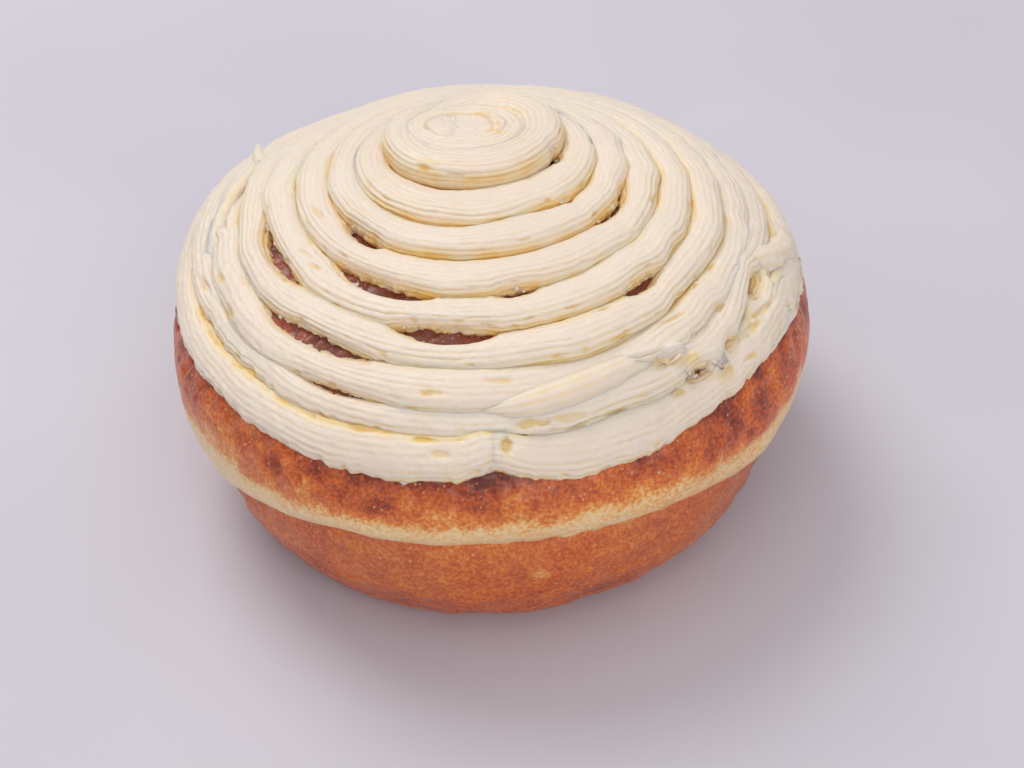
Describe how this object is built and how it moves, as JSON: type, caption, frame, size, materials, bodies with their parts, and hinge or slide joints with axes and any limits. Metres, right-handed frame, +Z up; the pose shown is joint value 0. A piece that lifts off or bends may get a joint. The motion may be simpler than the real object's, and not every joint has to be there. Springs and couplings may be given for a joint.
{
  "type": "frosted cinnamon roll",
  "caption": "Round baked cinnamon roll in two lobes with a pale waist, topped by a thick piped swirl of cream cheese frosting that rises to a coil.",
  "frame": {"origin": "centre of the flat foot that the roll rests on, at the bottom of its box", "axes": "+Z up, out of the top of the swirl; -Y towards the side the picture shows; +X to the right in the picture"},
  "size_m": [0.1343, 0.1329, 0.0761],
  "materials": {
    "bun_crust": "baked golden-brown crust, dry with a faint sheen",
    "frosting_cream": "soft matt cream, finely ridged along the piped rope"
  },
  "bodies": {
    "root": {"bun": "bun_crust", "frosting": "frosting_cream"}
  },
  "joints": []
}
